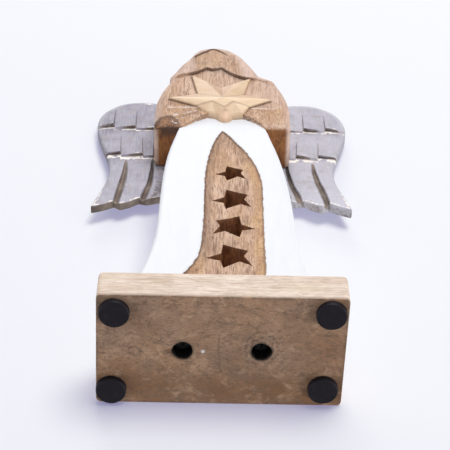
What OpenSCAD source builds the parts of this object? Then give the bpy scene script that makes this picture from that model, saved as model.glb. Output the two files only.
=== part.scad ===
// Carved angel figurine: a board cut to the shape of an angel, screwed to a wooden base,
// with a relief star on the chest and two cast wings screwed to its back.
// The figure stands on its rubber feet at z = 0 and faces -Y. The origin is at the middle of the base.

/* [Base] */
// Width of the base block
base_w = 120; // [112:1:150]
// Depth of the base block
base_d = 63; // [50:1:80]
// Thickness of the base block
base_t = 21; // [16:1:26]
// Radius of the base block's upright corners
base_corner = 2.5; // [0.5:0.5:8]
// How far the block's back edge is out of square, to the left
base_skew = 1; // [0:0.5:3]
// Diameter of a rubber foot
foot_dia = 15; // [10:0.5:18]
// Height of a rubber foot
foot_h = 3; // [2:0.5:5]
// Gap between a foot and the edges of the base
foot_inset = 1; // [0:0.5:6]

/* [Board] */
// Thickness of the robe, from its front to the back of the board
robe_t = 26; // [22:1:32]
// Width of the robe at its hem
hem_w = 104; // [96:1:110]
// Width of the robe just under the arms
robe_top_w = 51; // [44:1:58]
// Height of the underside of the sleeves above the floor
sleeve_z = 206; // [200:1:215]
// Width across the sleeves
sleeve_w = 80; // [76:1:86]
// Height of the crown of the head above the floor
crown_z = 319; // [314:1:326]
// How far the arms stand out in front of the robe
arm_relief = 4; // [3:0.5:6]
// How far the head stands out in front of the arms
head_relief = 1.5; // [1:0.5:5]
// Depth of the bare panel below the painted robe
panel_depth = 2; // [1:0.5:3]

/* [Star on the chest] */
// Width across the star's two side points
star_w = 61; // [54:1:66]
// Height of the star's side points above the floor
star_z = 232; // [230:1:238]
// How far the middle of the star stands out in front of the arms
star_relief = 4; // [3:0.5:6]

/* [Wings] */
// Thickness of a wing casting where it is bare
wing_t = 4.5; // [3:0.5:6]
// How far each row of feathers stands out over the one below it
feather_step = 0.7; // [0.4:0.1:1]
// Distance from the middle of the figure to the widest part of a wing
wing_reach = 76.5; // [74:0.5:82]

/* [Fasteners] */
// Distance between the two screws in the base
base_screw_gap = 38; // [30:1:50]
// Diameter of the counterbores in the base
counterbore_dia = 10; // [9:0.5:12]
// Depth of the counterbores in the base
counterbore_h = 10; // [6:0.5:12]
// Diameter of the base screws' shanks
base_shank_dia = 4; // [3.5:0.5:5]
// Length of the base screws
base_screw_l = 36; // [30:1:45]
// Diameter of the wing screws' shanks
wing_shank_dia = 3; // [2.5:0.5:4]
// Length of the wing screws under their heads
wing_screw_l = 16; // [12:1:20]

/* [Hidden] */
$fn = 48;
eps = 0.5;

base_top = foot_h + base_t;
robe_front = -robe_t / 2;
board_back = robe_front + robe_t;
arm_front = robe_front - arm_relief;
head_front = arm_front - head_relief;

robe_sway = 2;              // the robe bulges a little to the right
arch_z = sleeve_z + 16;     // the sleeves' lower edge where they meet at the middle
cuff_z = sleeve_z + 19;     // the crease above the slope under the forearms
neck_z = sleeve_z + 66;     // the chin and the tops of the shoulders
hair_w = 57;
head_shift = -4;            // the head sits a little to the left
// The jaw, the ends of the hair, and the plain foot of the head inside the shoulders
jaw_edge = [[0, neck_z], [4.5, neck_z + 2.5], [19, neck_z - 9], [hair_w / 2, neck_z - 6]];
neck_edge = [[0, neck_z - 12], [hair_w / 2 - 4, neck_z - 12]];

panel_middle = 6;           // the panel sits a little to the right
panel_w = 32;
panel_tip_z = sleeve_z - 2;

// Each pierced star: [x, z, size, 1 or -1 for the way it leans]
pierced_stars = [
    [5, 157, 0.8, 1],
    [5.5, 128, 1, 1],
    [5.5, 100, 1.04, -1],
    [4, 70.5, 1.08, 1]
];
// A star cut freehand, from its upper left point round by the right to the notch before it
hand_cut_star = [
    [-3.4, 11.2], [2.8, 8.3], [8.6, 6.2], [6.4, 1.4], [10.4, -7],
    [4.4, -3.6], [-3.4, -9.2], [-4.6, -3], [-11.5, -1.2], [-4.4, 3]
];

foot_x = base_w / 2 - foot_inset - foot_dia / 2;
foot_y = base_d / 2 - foot_inset - foot_dia / 2;
base_head_dia = 8;
base_head_h = 3;
wing_head_dia = 7;
wing_head_h = 2.2;
wing_screw_x = 20;
wing_screw_z = [228, 262];
wing_back = board_back + wing_t;
wing_inner_x = 10;
wing_top_z = 287;
tip_z = 158;
rows_z = [253, 219];        // the lower edges of the two rows of short feathers

// Points along a cubic curve from a to d, without d itself
function curve(a, b, c, d, steps = 10) = [
    for (i = [0 : steps - 1])
        let (t = i / steps, s = 1 - t)
        s * s * s * a + 3 * s * s * t * b + 3 * s * t * t * c + t * t * t * d
];

function reversed(points) = [for (i = [len(points) - 1 : -1 : 0]) points[i]];

function mirrored(points) = [for (p = reversed(points)) [-p[0], p[1]]];

// Stands a drawing of the front view up between two depths
module upright(front, back) {
    translate([0, back, 0])
        rotate([90, 0, 0])
            linear_extrude(height = back - front)
                children();
}

// One side of the robe, from the hem up to the sleeves
function robe_side(side) =
    let (
        hem = [side * hem_w / 2, base_top],
        waist = [side * (robe_top_w / 2 + 11) + robe_sway, base_top + 76],
        top = [side * robe_top_w / 2, sleeve_z]
    )
    concat(
        curve(hem, hem + [side * -9, 20], waist + [side * 1.5, -32], waist),
        curve(waist, waist + [side * -1, 35], top + [side * 9, -33], top),
        [top, top + [0, 2 * eps]]
    );

module robe_outline() {
    polygon(concat(robe_side(1), reversed(robe_side(-1))));
}

module sleeve_outline() {
    corner = 4;
    low = [sleeve_w / 2, sleeve_z + corner];
    elbow = [sleeve_w / 2, sleeve_z + 20];
    shoulder = [hair_w / 2, neck_z];
    side = concat(
        [[robe_top_w / 2 - 4, sleeve_z]],
        curve([sleeve_w / 2 - corner, sleeve_z], [sleeve_w / 2 - 1, sleeve_z], low - [0, 3], low, 5),
        curve(low, low + [0, 4], elbow - [0, 4], elbow, 2),
        curve(elbow, elbow + [0, 18], shoulder + [5, -12], shoulder),
        [shoulder]
    );
    polygon(concat(side, mirrored(side)));
}

// The head and the hair round it, closed below by the points of its lower edge
module head_outline(lower_edge) {
    crown = [0, crown_z];
    temple = [hair_w / 2, neck_z - 2];
    side = concat(
        lower_edge,
        curve(temple, temple + [-5.5, 13], crown + [10.5, -1], crown),
        [crown]
    );
    translate([head_shift, 0])
        polygon(concat(side, mirrored(side)));
}

module panel_outline() {
    right = panel_middle + panel_w / 2;
    left = panel_middle - panel_w / 2;
    tip = [1, panel_tip_z];
    spring_z = base_top + 113;
    hem = [-30, base_top - eps];
    polygon(concat(
        [hem, [right, base_top - eps]],
        curve([right, spring_z], [right, spring_z + 26], [12, spring_z + 46], tip),
        curve(tip, [-6, spring_z + 52], [left, spring_z + 28], [left, spring_z]),
        curve([left, spring_z], [left, spring_z - 50], [left - 3, 50], hem)
    ));
}

// The part of the arms in front of the robe, with its arched lower edge
module arm_relief_outline() {
    half = robe_top_w / 2;
    difference() {
        sleeve_outline();
        polygon(concat(
            [[half, sleeve_z - eps]],
            curve([half, sleeve_z], [half - 5, sleeve_z + 9], [10, arch_z], [0, arch_z]),
            curve([0, arch_z], [-10, arch_z], [5 - half, sleeve_z + 9], [-half, sleeve_z]),
            [[-half, sleeve_z - eps]]
        ));
    }
}

// Everything in front of the slope under the forearms, which falls back from the crease to the robe
module before_slope(lift = 0) {
    wide = sleeve_w + 2;
    foremost = arm_front - 10;
    translate([-wide / 2, -lift, 0])
        rotate([90, 0, 90])
            linear_extrude(height = wide)
                polygon([
                    [foremost, cuff_z],
                    [arm_front, cuff_z],
                    [robe_front - 0.5, sleeve_z],
                    [robe_front - 0.5, sleeve_z - eps],
                    [foremost, sleeve_z - eps]
                ]);
}

// The arms, as far as they stand out in front of the robe
module arm_relief_block() {
    difference() {
        upright(arm_front, robe_front + eps) arm_relief_outline();
        before_slope();
    }
}

module angel_body() {
    color("burlywood")
    difference() {
        union() {
            upright(robe_front, board_back) {
                robe_outline();
                sleeve_outline();
            }
            arm_relief_block();
            upright(head_front, arm_front + eps) head_outline(jaw_edge);
            upright(arm_front, board_back) head_outline(neck_edge);
        }
        upright(robe_front - eps, robe_front + panel_depth) panel_outline();
        for (s = pierced_stars)
            translate([s[0], 0, s[1]])
                upright(robe_front, board_back + eps)
                    polygon([for (p = hand_cut_star) s[2] * [s[3] * p[0], p[1]]]);
        for (side = [-1, 1]) {
            translate([side * base_screw_gap / 2, 0, base_top - eps])
                cylinder(d = base_shank_dia, h = base_screw_l - (base_t - counterbore_h) + eps);
            for (z = wing_screw_z)
                translate([side * wing_screw_x, wing_back - wing_screw_l, z])
                    rotate([-90, 0, 0])
                        cylinder(d = wing_shank_dia, h = wing_screw_l);
        }
    }
}

// The star's outline, with two points up, two to the sides and one down
module star_outline() {
    side = [
        [0, star_z - 21], [10, star_z - 11], [star_w / 2, star_z],
        [14.5, star_z + 7], [19, star_z + 32], [0, star_z + 15]
    ];
    polygon(concat(side, mirrored(side)));
}

// A star with a raised middle, bent back below the crease to lie on the slope and the robe
module chest_star() {
    edge_t = 1.5;
    color("wheat")
    difference() {
        union() {
            upright(arm_front - edge_t, robe_front)
                star_outline();
            upright(arm_front - star_relief, arm_front - edge_t)
                translate([0, star_z])
                    scale(0.5)
                        translate([0, -star_z])
                            star_outline();
        }
        arm_relief_block();
        before_slope(edge_t);
        upright(head_front - eps, arm_front + eps) head_outline(jaw_edge);
    }
}

// The block in plan: its upright corners are rounded, and its back edge leans out of square
module base_outline() {
    r = base_corner;
    polygon([
        for (corner = [[1, 1, 0], [-1, 1, 90], [-1, -1, 180], [1, -1, 270]], a = [0 : 15 : 90])
            [
                corner[0] * (base_w / 2 - r) - (corner[1] > 0 ? base_skew : 0) + r * cos(corner[2] + a),
                corner[1] * (base_d / 2 - r) + r * sin(corner[2] + a)
            ]
    ]);
}

module base_block() {
    color("tan")
    difference() {
        translate([0, 0, foot_h])
            linear_extrude(height = base_t)
                base_outline();
        for (side = [-1, 1])
            translate([side * base_screw_gap / 2, 0, foot_h - eps]) {
                cylinder(d = counterbore_dia, h = counterbore_h + eps);
                cylinder(d = base_shank_dia, h = base_t + 2 * eps);
            }
    }
}

// A stick-on foot, placed by hand: the back ones follow the skew of the back edge
module foot(side, end) {
    front_shift = [0, side < 0 ? 0.8 : 0, 0];
    back_shift = [-2 * base_skew, side * -1 - 1, 0];
    color("dimgray")
    translate([side * foot_x, end * foot_y, 0] + (end < 0 ? front_shift : back_shift))
        rotate_extrude()
            polygon([
                [0, 0], [foot_dia / 2 - 0.8, 0], [foot_dia / 2 - 0.2, 0.5],
                [foot_dia / 2, foot_h], [0, foot_h]
            ]);
}

// A flat-headed screw driven upwards from the bottom of its counterbore
module base_screw(side) {
    tip_h = 5;
    color("black")
    translate([side * base_screw_gap / 2, 0, foot_h + counterbore_h - base_head_h])
        rotate_extrude()
            polygon([
                [0, 0], [base_head_dia / 2, 0], [base_head_dia / 2, base_head_h],
                [base_shank_dia / 2, base_head_h],
                [base_shank_dia / 2, base_head_h + base_screw_l - tip_h],
                [0, base_head_h + base_screw_l]
            ]);
}

// A round-headed screw driven forwards through a wing into the board
module wing_screw(side, z) {
    tip_h = 3;
    color("gray")
    translate([side * wing_screw_x, wing_back, z])
        rotate([90, 0, 0])
            rotate_extrude()
                polygon([
                    [0, -wing_head_h], [wing_head_dia / 2 - 1.5, -wing_head_h],
                    [wing_head_dia / 2 - 0.4, -wing_head_h / 2], [wing_head_dia / 2, 0],
                    [wing_shank_dia / 2, 0],
                    [wing_shank_dia / 2, wing_screw_l - tip_h],
                    [0, wing_screw_l]
                ]);
}

// The outline of the right wing
module wing_outline() {
    widest = [wing_reach, 255];
    waist = [wing_reach - 10.3, 198];
    tip = [wing_reach - 2.5, tip_z];
    top = [51, wing_top_z];
    polygon(concat(
        [[wing_inner_x, 279]],
        curve([wing_inner_x + 20, 283], [38, 286], [45, wing_top_z], top, 4),
        curve(top, top + [16, 0], widest + [0, 16], widest, 8),
        curve(widest, widest + [0, -20], waist + [0, 20], waist, 8),
        curve(waist, waist + [0, -14], tip + [-3, 14], tip, 5),
        // the slanted ends of the outer, middle and inner feathers
        [tip, [62, tip_z + 8], [58, tip_z + 4], [47, tip_z + 11], [43, tip_z + 10], [22, tip_z + 16]],
        [[wing_inner_x + 4, tip_z + 34], [wing_inner_x, 219]]
    ));
}

module wing(side) {
    color("silver")
    mirror([side < 0 ? 1 : 0, 0, 0])
        difference() {
            union() {
                upright(board_back, wing_back)
                    wing_outline();
                // Each upper row lies over the one below it, outside the board
                for (row = [0 : len(rows_z) - 1])
                    upright(board_back - (len(rows_z) - row) * feather_step, board_back + eps)
                        intersection() {
                            wing_outline();
                            translate([sleeve_w / 2 + 0.5, rows_z[row]])
                                square([wing_reach, wing_top_z]);
                        }
            }
            for (z = wing_screw_z)
                translate([wing_screw_x, board_back - eps, z])
                    rotate([-90, 0, 0])
                        cylinder(d = wing_shank_dia, h = wing_t + 2 * eps);
        }
}

base_block();
angel_body();
chest_star();
wing(-1);  // wing_left
wing(1);  // wing_right
foot(-1, -1);  // foot_front_left
foot(1, -1);  // foot_front_right
foot(-1, 1);  // foot_back_left
foot(1, 1);  // foot_back_right
base_screw(-1);  // base_screw_left
base_screw(1);  // base_screw_right
wing_screw(-1, wing_screw_z[1]);  // wing_screw_left_upper
wing_screw(-1, wing_screw_z[0]);  // wing_screw_left_lower
wing_screw(1, wing_screw_z[1]);  // wing_screw_right_upper
wing_screw(1, wing_screw_z[0]);  // wing_screw_right_lower
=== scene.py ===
"""Carved angel figurine: the visible pieces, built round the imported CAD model.

The figure stands on its feet at z = 0 and faces -Y. Shapes are worked out in millimetres and
turned into metres when a mesh is made. Left and right are the viewer's.
"""

import math

import bmesh
import bpy
import numpy as np
from mathutils import Matrix, Vector, noise
from mathutils.geometry import delaunay_2d_cdt


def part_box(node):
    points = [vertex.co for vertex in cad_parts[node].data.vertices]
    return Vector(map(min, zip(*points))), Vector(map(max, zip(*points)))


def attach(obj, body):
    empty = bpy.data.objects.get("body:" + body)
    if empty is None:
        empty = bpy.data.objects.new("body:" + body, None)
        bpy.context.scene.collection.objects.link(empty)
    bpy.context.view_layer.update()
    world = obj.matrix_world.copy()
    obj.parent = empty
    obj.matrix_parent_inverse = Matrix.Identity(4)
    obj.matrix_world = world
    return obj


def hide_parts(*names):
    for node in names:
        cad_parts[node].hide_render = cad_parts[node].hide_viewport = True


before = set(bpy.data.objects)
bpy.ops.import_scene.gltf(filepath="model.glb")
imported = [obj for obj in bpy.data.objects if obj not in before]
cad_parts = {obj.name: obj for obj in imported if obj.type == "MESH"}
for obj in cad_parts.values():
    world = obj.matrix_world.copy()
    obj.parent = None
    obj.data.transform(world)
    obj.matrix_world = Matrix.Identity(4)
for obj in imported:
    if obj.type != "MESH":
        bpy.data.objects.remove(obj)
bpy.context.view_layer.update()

MM = 0.001


# ---------------------------------------------------------------- sizes, in millimetres


def box_mm(*nodes):
    """The lowest and highest corner of some CAD nodes together, in millimetres."""
    corners = [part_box(node) for node in nodes]
    low = np.min([np.array(c[0]) for c in corners], axis=0) / MM
    high = np.max([np.array(c[1]) for c in corners], axis=0) / MM
    return low, high


BASE_LOW, BASE_HIGH = box_mm("base_block")
BODY_LOW, BODY_HIGH = box_mm("angel_body")
WING_LOW, WING_HIGH = box_mm("wing_right")

HEM_Z = BASE_HIGH[2]
CROWN_Z = BODY_HIGH[2]
BACK_Y = BODY_HIGH[1]
HEAD_Y = BODY_LOW[1]            # the foremost face of the head
ARM_Y = HEAD_Y + 1.5            # the front of the arms
ROBE_Y = ARM_Y + 4              # the painted front of the robe
SLEEVE_Z = HEM_Z + 182          # the underside of the sleeves
CREASE_Z = SLEEVE_Z + 19        # the worn crease along the forearms
CHIN_Z = SLEEVE_Z + 66
SLOPE_FOOT_Y = ROBE_Y - 0.5     # the slope under the forearms ends here
SLEEVE_HALF = 40
ROBE_TOP_HALF = 25.5
HEAD_X = -4                     # the head sits a little to the left

# Each pierced star: [x, z, size, 1 or -1 for the way it leans]
PIERCED_STARS = [
    [5, 157, 0.8, 1],
    [5.5, 128, 1, 1],
    [5.5, 100, 1.04, -1],
    [4, 70.5, 1.08, 1],
]
# A star cut freehand, from its upper left point round by the right to the notch before it
HAND_CUT_STAR = [
    [-3.4, 11.2], [2.8, 8.3], [8.6, 6.2], [6.4, 1.4], [10.4, -7],
    [4.4, -3.6], [-3.4, -9.2], [-4.6, -3], [-11.5, -1.2], [-4.4, 3],
]


# ---------------- plane geometry


def curve(a, b, c, d, steps=10):
    """Points along a cubic curve from a to d, without d itself."""
    t = np.linspace(0, 1, steps, endpoint=False)[:, None]
    s = 1 - t
    a, b, c, d = (np.array(p, float) for p in (a, b, c, d))
    return s**3 * a + 3 * s * s * t * b + 3 * s * t * t * c + t**3 * d


def outline(*stretches):
    """One list of points from several stretches of an outline."""
    return np.concatenate([np.atleast_2d(np.array(s, float)) for s in stretches])


def mirrored(points):
    return np.array(points)[::-1] * [-1, 1]


def resample(line, spacing, closed=False):
    """Points about one spacing apart along a line, with its own corners kept."""
    line = np.array(line, float)
    ends = np.roll(line, -1, axis=0) if closed else line[1:]
    made = []
    for a, b in zip(line, ends):
        count = max(1, round(float(np.linalg.norm(b - a)) / spacing))
        made.extend(a + (b - a) * k / count for k in range(count))
    return np.array(made if closed else made + [line[-1]])


def distance(points, line, closed=False):
    """The distance of each point from a line."""
    line = np.array(line, float)
    ends = np.roll(line, -1, axis=0) if closed else line[1:]
    best = np.full(len(points), np.inf)
    for start, end in zip(line, ends):
        along = end - start
        rel = points - start
        t = np.clip(rel @ along / max(along @ along, 1e-9), 0, 1)
        best = np.minimum(best, np.linalg.norm(rel - t[:, None] * along, axis=1))
    return best


def inside(points, loop):
    """True for each point inside a closed loop."""
    x, z = points.T
    hits = np.zeros(len(points), bool)
    for (x0, z0), (x1, z1) in zip(loop, np.roll(loop, -1, axis=0)):
        if z0 != z1:
            crosses = (z0 > z) != (z1 > z)
            hits ^= crosses & (x < (x1 - x0) * (z - z0) / (z1 - z0) + x0)
    return hits


def depth_in(points, loop):
    """How far each point lies inside a closed loop; negative outside."""
    return distance(points, loop, True) * np.where(inside(points, loop), 1, -1)


def above(points, line):
    """How far each point lies above a line that runs from left to right; negative below."""
    return distance(points, line) * np.where(points[:, 1] > np.interp(points[:, 0], *line.T), 1, -1)


def turned(loop, anticlockwise):
    """The loop, running the way asked for."""
    x, z = loop.T
    area = np.sum(x * np.roll(z, -1) - np.roll(x, -1) * z)
    return loop if (area > 0) == anticlockwise else loop[::-1]


def normals(ahead):
    """Unit vectors to the left of each direction."""
    left = np.stack([-ahead[:, 1], ahead[:, 0]], axis=1)
    return left / np.linalg.norm(left, axis=1)[:, None]


def beside(line, gap, spacing=0.8):
    """The two lines that run at a small distance on each side of a line."""
    line = resample(line, spacing)
    offset = normals(np.gradient(line, axis=0)) * gap
    return [line + offset, line - offset]


def ramp(value, start, end):
    """0 at the start, 1 at the end, and straight between. The end may be below the start."""
    return np.clip((value - start) / (end - start), 0, 1)


def ease(value, start, end):
    t = ramp(value, start, end)
    return t * t * (3 - 2 * t)


def peak(value, middle, width):
    """1 where a value is at the middle, falling away on both sides."""
    return np.exp(-(((value - middle) / width) ** 2))


def most(*values):
    """The largest of several values at each point, kept within 0 to 1."""
    return np.clip(np.max(values, axis=0), 0, 1)


def rounding(depth, radius):
    """How far a surface falls back near an edge that is rounded to a radius."""
    t = ramp(depth, radius, 0)
    return radius * (1 - np.sqrt(1 - t * t))


def waves(points, size, seed=0):
    """Smooth noise from -1 to 1 at points, with bumps of a given size."""
    shift = Vector((seed * 17.3, seed * 5.1, seed * 29.7))
    return np.array([noise.noise(Vector(p / size).to_3d() + shift) for p in points])


# ---------------- meshes


def clearance(points, loops):
    """How far each point is from the edges of the area inside loops[0] and outside the rest."""
    return np.min([depth_in(points, loops[0])] + [-depth_in(points, hole) for hole in loops[1:]], axis=0)


def triangulate(loops, lines, spacing, depths):
    """A net of triangles inside the first loop and outside the others.

    Rows of points follow the loops at the given depths, and the lines become edges.
    Returns the points, the triangles and, for each loop, its points' numbers.
    """
    points, edges, rims = [], [], []
    for loop in loops:
        rim = [len(points) + k for k in range(len(loop))]
        points.extend(loop)
        rims.append(rim)
        edges.extend(zip(rim, rim[1:] + rim[:1]))
    for line in lines:
        first = len(points)
        line = resample(line, spacing * 0.8)
        line = line[clearance(line, loops) > 0.25]
        points.extend(line)
        gaps = np.linalg.norm(line[1:] - line[:-1], axis=1)
        edges.extend((first + k, first + k + 1) for k, gap in enumerate(gaps) if gap < spacing * 1.5)
    for depth in depths:
        for loop in loops:
            row = loop + normals(np.roll(loop, -1, axis=0) - np.roll(loop, 1, axis=0)) * depth
            points.extend(row[clearance(row, loops) > depth * 0.93])
    low, high = loops[0].min(0), loops[0].max(0)
    columns = np.arange(low[0], high[0], spacing)
    rows = np.arange(low[1], high[1], spacing * 0.866)
    grid = np.array([[x + (k % 2) * spacing / 2, z] for k, z in enumerate(rows) for x in columns])
    grid = grid[clearance(grid, loops) > max(depths, default=0) + spacing * 0.6]
    for line in lines:
        grid = grid[distance(grid, line) > spacing * 0.55]
    points.extend(grid)
    made, _, triangles, origin, _, _ = delaunay_2d_cdt([Vector(p) for p in points], edges, [], 0, 1e-5)
    made = np.array([tuple(p) for p in made])
    place = {source: k for k, sources in enumerate(origin) for source in sources}
    triangles = np.array([t for t in triangles if len(t) == 3])
    triangles = triangles[clearance(made[triangles].mean(axis=1), loops) > 0]
    return made, triangles, [[place[k] for k in rim] for rim in rims]


def make_mesh(name, points, faces, material, attributes=None, sharp=35):
    """A mesh object from points in millimetres.

    attributes works out named values at the points, for the material.
    """
    mesh = bpy.data.meshes.new(name)
    mesh.from_pydata((points * MM).tolist(), [], [tuple(int(k) for k in f) for f in faces])
    work = bmesh.new()
    work.from_mesh(mesh)
    bmesh.ops.delete(work, geom=[v for v in work.verts if not v.link_faces], context="VERTS")
    bmesh.ops.recalc_face_normals(work, faces=work.faces)
    work.to_mesh(mesh)
    work.free()
    mesh.shade_smooth()
    mesh.set_sharp_from_angle(angle=math.radians(sharp))
    if attributes:
        places = np.zeros(len(mesh.vertices) * 3, np.float32)
        mesh.vertices.foreach_get("co", places)
        for label, values in attributes(places.reshape(-1, 3).astype(float) / MM).items():
            layer = mesh.attributes.new(label, "FLOAT", "POINT")
            layer.data.foreach_set("value", np.asarray(values, np.float32))
    mesh.materials.append(material)
    return link(name, mesh)


def link(name, data):
    """A new object in the scene."""
    made = bpy.data.objects.new(name, data)
    bpy.context.scene.collection.objects.link(made)
    return made


def upright(flat, depth):
    """Front view points at a depth along Y."""
    return np.column_stack([flat[:, 0], depth, flat[:, 1]])


def slab(name, loops, front, back, material, lines=(), spacing=1.0, depths=(), wall_rows=6,
         pockets=(), place=upright, attributes=None, coarse=3.0, sharp=35):
    """A closed solid between two surfaces over one outline.

    front and back give the surfaces' depth at points of the drawing. Holes are the loops
    after the first. A pocket is [its outline, centre, depth of its floor], sunk from the front.
    """
    rims = [turned(resample(loops[0], spacing, True), True)]
    rims += [turned(resample(loop, spacing * 0.7, True), False) for loop in loops[1:]]
    wells = [turned(loop, False) for loop, _, _ in pockets]
    near, near_faces, near_rims = triangulate(rims + wells, lines, spacing, depths)
    far, far_faces, far_rims = triangulate(rims, [], coarse, depths)
    points = [*place(near, front(near)), *place(far, back(far))]
    faces = near_faces.tolist() + (len(near) + far_faces[:, ::-1]).tolist()

    def add(new):
        """Adds points, and gives their numbers."""
        points.extend(new)
        return list(range(len(points) - len(new), len(points)))

    def wall(top, bottom):
        """Rows of quads between two rings of points, given by number."""
        start, end = np.array(points)[top], np.array(points)[bottom]
        between = [add(start + (end - start) * row / wall_rows) for row in range(1, wall_rows)]
        for upper, lower in zip([top, *between], [*between, bottom]):
            faces.extend(zip(upper, upper[1:] + upper[:1], lower[1:] + lower[:1], lower))

    for near_rim, far_rim in zip(near_rims, far_rims):
        wall(near_rim, [len(near) + k for k in far_rim])
    for rim, (_, centre, floor) in zip(near_rims[len(rims):], pockets):
        ring = add(place(near[rim], np.full(len(rim), floor)))
        wall(rim, ring)
        middle = add(place(np.array([centre]), [floor])) * len(ring)
        faces.extend(zip(ring, ring[1:] + ring[:1], middle))
    return make_mesh(name, np.array(points), faces, material, attributes, sharp)


def lathe(name, profile, material, place, segments=64, thread=None, carve=None):
    """A solid of revolution. The profile is [radius, height] from pole to pole.

    thread is [low height, high height, pitch, depth]: the profile bulges along a helix there.
    carve gives a depth to cut at points of the first end.
    """
    profile = np.array(profile, float)
    radii, height = profile[1:-1].T
    rows = []
    for k in range(segments):
        turn = 2 * np.pi * k / segments
        radius = radii
        if thread:
            low, high, pitch, depth = thread
            phase = np.abs(((height - low) / pitch - k / segments) % 1 - 0.5) * 2
            along = ramp(height, low, low + pitch) * ramp(height, high, high - pitch)
            radius = radii + depth * phase**2 * along
        rows.append(np.column_stack([radius * np.cos(turn), radius * np.sin(turn), height]))
    points = np.concatenate(rows + [[[0, 0, profile[0, 1]], [0, 0, profile[-1, 1]]]])
    if carve:
        points[:, 2] += carve(points)
    ring = len(height)
    first = segments * ring
    faces = []
    for k in range(segments):
        a, b = k * ring, (k + 1) % segments * ring
        faces += [[first, a, b], [first + 1, b + ring - 1, a + ring - 1]]
        faces.extend([a + r, a + r + 1, b + r + 1, b + r] for r in range(ring - 1))
    return make_mesh(name, place(points), faces, material, sharp=40)


def show(piece, node):
    """The piece stands for a CAD node: it hangs under the root, and the node's own mesh is hidden."""
    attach(piece, "root")
    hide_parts(node)


# ---------------- materials


class Nodes:
    """Short calls that add shader nodes to one material."""

    def __init__(self, name):
        self.material = bpy.data.materials.new(name)
        self.material.use_nodes = True
        self.tree = self.material.node_tree
        self.shader = self.tree.nodes["Principled BSDF"]
        self.place = self.add("TexCoord", "Object", {})

    def feed(self, socket, value):
        if isinstance(value, bpy.types.NodeSocket):
            self.tree.links.new(value, socket)
        elif socket.type == "RGBA":
            socket.default_value = (*value, 1)
        else:
            socket.default_value = value

    def add(self, kind, output, inputs, **settings):
        """One output of a new node."""
        node = self.tree.nodes.new("ShaderNode" + kind)
        for key, value in settings.items():
            setattr(node, key, value)
        for key, value in inputs.items():
            self.feed(node.inputs[key], value)
        return node.outputs[output]

    def stretched(self, scale, shift=(0, 0, 0)):
        """Coordinates that are scaled differently along each axis, for grain."""
        return self.add("Mapping", "Vector", {"Vector": self.place, "Scale": scale, "Location": shift})

    def noise(self, where, scale, detail=3, roughness=0.5, distortion=0.0):
        inputs = {"Vector": where, "Scale": scale, "Detail": detail, "Roughness": roughness}
        return self.add("TexNoise", "Fac", {**inputs, "Distortion": distortion})

    def span(self, value, low, high, start=0.0, end=1.0):
        """The value, stretched so that low..high becomes start..end."""
        inputs = {"Value": value, "From Min": low, "From Max": high, "To Min": start, "To Max": end}
        return self.add("MapRange", "Result", inputs)

    def math(self, operation, a, b=0.0):
        return self.add("Math", "Value", {0: a, 1: b}, operation=operation)

    def mix(self, factor, a, b):
        return self.add("Mix", "Result", {"Factor": factor, "A": a, "B": b}, data_type="RGBA")

    def value(self, name):
        """A value stored at the mesh's points."""
        return self.add("Attribute", "Fac", {}, attribute_name=name)

    def over(self, color, **layers):
        """The colour, with others laid over it in turn, each as strong as its own value says."""
        for name, other in layers.items():
            color = self.mix(self.value(name), color, other)
        return color

    def bump(self, height, size, strength=1.0, below=None):
        inputs = {"Height": height, "Distance": size * MM, "Strength": strength}
        if below:
            inputs["Normal"] = below
        return self.add("Bump", "Normal", inputs)

    def finish(self, color, roughness, normal, metallic=0.0):
        inputs = {"Base Color": color, "Roughness": roughness, "Metallic": metallic, "Normal": normal}
        for key, value in inputs.items():
            self.feed(self.shader.inputs[key], value)
        return self.material


def wood_grain(n, along, light, middle, dark, pore=0.5, streak=1.0):
    """Mango wood: soft bands, fine streaks and short dark pores along one axis.

    Returns the colour and a height for the bump.
    """
    def grain(length, scale, *rest, shift=(0, 0, 0)):
        scales = [length if axis == along else 1 for axis in "XYZ"]
        return n.noise(n.stretched(scales, shift), scale, *rest)

    bands = grain(0.14, 110, 5, 0.65, 0.8)
    fine = grain(0.08, 800, 4, 0.7, 0.3, shift=(0.3, 0.1, 0.2))
    pores = grain(0.1, 1850, 2, shift=(0.7, 0.5, 0.9))
    mottle = n.noise(n.place, 60, 3, 0.55, 0.4)
    color = n.mix(n.span(bands, 0.38, 0.62), middle, light)
    color = n.mix(n.span(fine, 0.48, 0.64, 0, 0.62 * streak), color, dark)
    color = n.mix(n.span(mottle, 0.56, 0.74, 0, 0.4), color, dark)
    hole = n.span(pores, 0.57, 0.64)
    color = n.mix(n.math("MULTIPLY", hole, pore), color, [c * 0.4 for c in dark])
    height = n.math("SUBTRACT", fine, n.math("MULTIPLY", hole, 0.7))
    return color, height


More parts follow.
